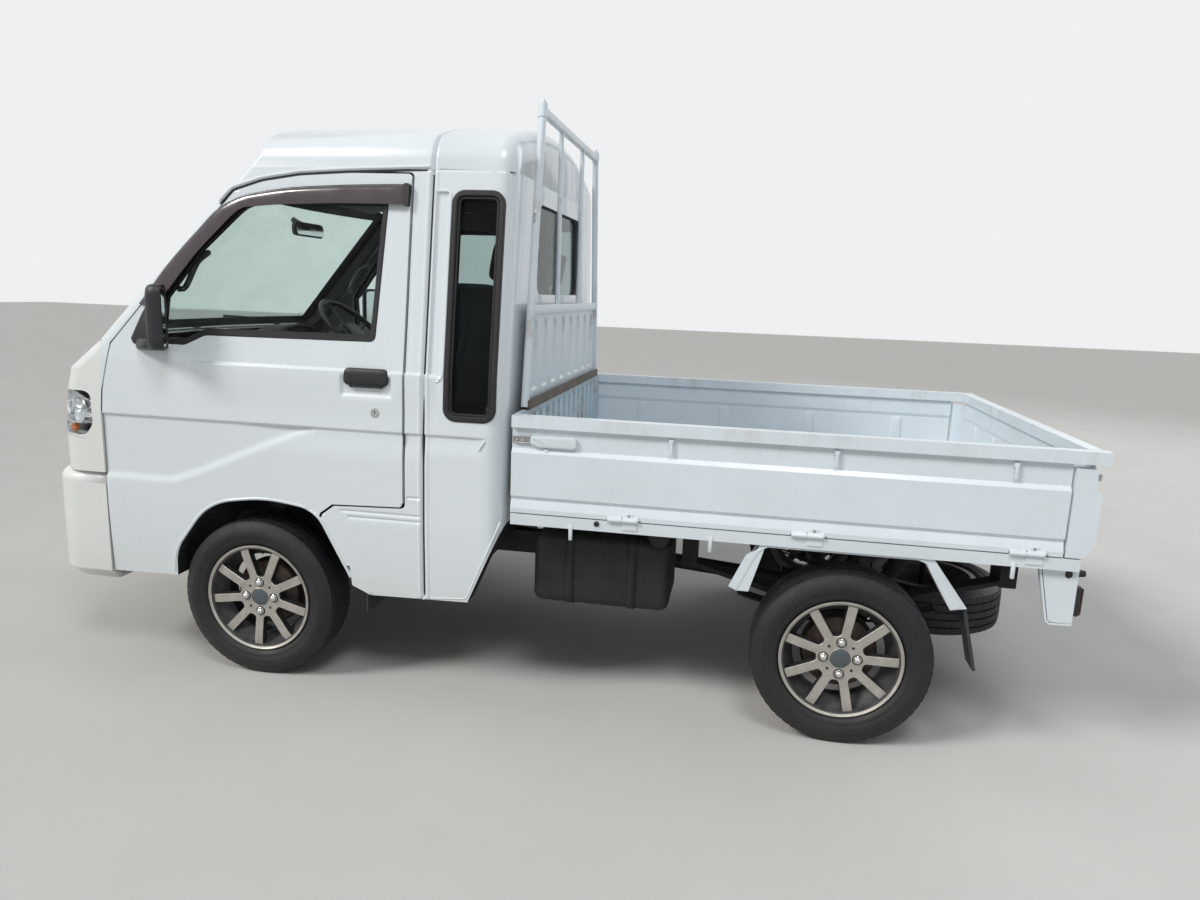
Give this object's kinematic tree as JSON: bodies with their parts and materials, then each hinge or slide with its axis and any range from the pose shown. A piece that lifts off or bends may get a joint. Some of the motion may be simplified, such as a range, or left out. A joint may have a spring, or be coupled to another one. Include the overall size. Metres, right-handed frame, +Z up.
{
  "type": "kei truck",
  "caption": "Small flat-nosed pickup truck with an extended high-roof cab, drop-side load bed and guard frame; wheels, steering, doors and gates move.",
  "frame": {"origin": "on the ground under the middle of the truck's length and width", "axes": "+X forward, +Y to the truck's left, +Z up"},
  "size_m": [3.395, 1.6692, 1.9089],
  "materials": {
    "body_paint": "gloss, dusty",
    "bed_paint": "gloss, rust-stained",
    "front_plastic": "satin",
    "lamp_glass": "clear",
    "window_glass": "green tint",
    "cab_plastic": "grained",
    "seat_fabric": "woven vinyl",
    "black_trim": "grained",
    "chassis_black": "dull, dirty",
    "engine_iron": "dirty",
    "exhaust_steel": "rusty",
    "spare_steel": "dull",
    "tyre": "worn",
    "flap_rubber": "dull",
    "tail_lens": "clear red",
    "alloy": "machined, dark pockets"
  },
  "bodies": {
    "chassis": {"cab_body": "body_paint", "roof": "body_paint", "front_panel": "front_plastic", "headlamps": "lamp_glass", "bumper": "front_plastic", "windscreen": "window_glass", "cab_glass": "window_glass", "dashboard": "cab_plastic", "seats": "seat_fabric", "steering_column": "cab_plastic", "wipers": "black_trim", "frame": "chassis_black", "engine": "engine_iron", "fuel_tank": "chassis_black", "exhaust": "exhaust_steel", "rear_axle": "chassis_black", "rear_springs": "chassis_black", "front_suspension": "chassis_black", "spare_rim": "spare_steel", "spare_tyre": "tyre", "bed_floor": "bed_paint", "headboard": "bed_paint", "guard_frame": "body_paint", "rear_fenders": "body_paint", "mud_flaps": "flap_rubber", "lamp_brackets": "body_paint", "tail_lamps": "tail_lens"},
    "door_left": {"door_left": "body_paint", "door_glass_left": "window_glass", "mirror_left": "black_trim"},
    "knuckle_left": {"knuckle_left": "chassis_black"},
    "wheel_front_left": {"rim_front_left": "alloy", "tyre_front_left": "tyre"},
    "wheel_rear_left": {"rim_rear_left": "alloy", "tyre_rear_left": "tyre"},
    "gate_left": {"gate_left": "bed_paint"},
    "door_right": {"door_right": "body_paint", "door_glass_right": "window_glass", "mirror_right": "black_trim"},
    "knuckle_right": {"knuckle_right": "chassis_black"},
    "wheel_front_right": {"rim_front_right": "alloy", "tyre_front_right": "tyre"},
    "wheel_rear_right": {"rim_rear_right": "alloy", "tyre_rear_right": "tyre"},
    "gate_right": {"gate_right": "bed_paint"},
    "tailgate": {"tailgate": "bed_paint"},
    "steering_wheel": {"steering_wheel": "black_trim"}
  },
  "joints": [
    {"name": "door_left", "type": "hinge", "parent": "chassis", "child": "door_left", "pos_m": [1.3785, 0.731, 0.9], "axis": [0, 0, -1], "range_deg": [0, 65]},
    {"name": "gate_left", "type": "hinge", "parent": "chassis", "child": "gate_left", "pos_m": [-0.8, 0.7385, 0.65], "axis": [-1, 0, 0], "range_deg": [0, 178]},
    {"name": "steer_left", "type": "hinge", "parent": "chassis", "child": "knuckle_left", "pos_m": [0.8545, 0.53, 0.27], "axis": [0, 0, 1], "range_deg": [-35, 35]},
    {"name": "wheel_front_left", "type": "hinge", "parent": "knuckle_left", "child": "wheel_front_left", "pos_m": [0.8545, 0.64, 0.27], "axis": [0, 1, 0], "continuous": true},
    {"name": "wheel_rear_left", "type": "hinge", "parent": "chassis", "child": "wheel_rear_left", "pos_m": [-1.0455, 0.648, 0.27], "axis": [0, 1, 0], "continuous": true},
    {"name": "door_right", "type": "hinge", "parent": "chassis", "child": "door_right", "pos_m": [1.3785, -0.731, 0.9], "axis": [0, 0, 1], "range_deg": [0, 65]},
    {"name": "gate_right", "type": "hinge", "parent": "chassis", "child": "gate_right", "pos_m": [-0.8, -0.7385, 0.65], "axis": [1, 0, 0], "range_deg": [0, 178]},
    {"name": "steer_right", "type": "hinge", "parent": "chassis", "child": "knuckle_right", "pos_m": [0.8545, -0.53, 0.27], "axis": [0, 0, 1], "range_deg": [-35, 35]},
    {"name": "wheel_front_right", "type": "hinge", "parent": "knuckle_right", "child": "wheel_front_right", "pos_m": [0.8545, -0.64, 0.27], "axis": [0, 1, 0], "continuous": true},
    {"name": "wheel_rear_right", "type": "hinge", "parent": "chassis", "child": "wheel_rear_right", "pos_m": [-1.0455, -0.648, 0.27], "axis": [0, 1, 0], "continuous": true},
    {"name": "tailgate", "type": "hinge", "parent": "chassis", "child": "tailgate", "pos_m": [-1.6905, 0, 0.65], "axis": [0, -1, 0], "range_deg": [0, 178]},
    {"name": "steering_wheel", "type": "hinge", "parent": "chassis", "child": "steering_wheel", "pos_m": [1.0045, -0.345, 1.12], "axis": [-0.682, 0, 0.7314], "range_deg": [-530, 530]}
  ],
  "couplings": [
    {"joint": "steer_right", "follows": "steer_left", "ratio": 1},
    {"joint": "steering_wheel", "follows": "steer_left", "ratio": 15}
  ]
}
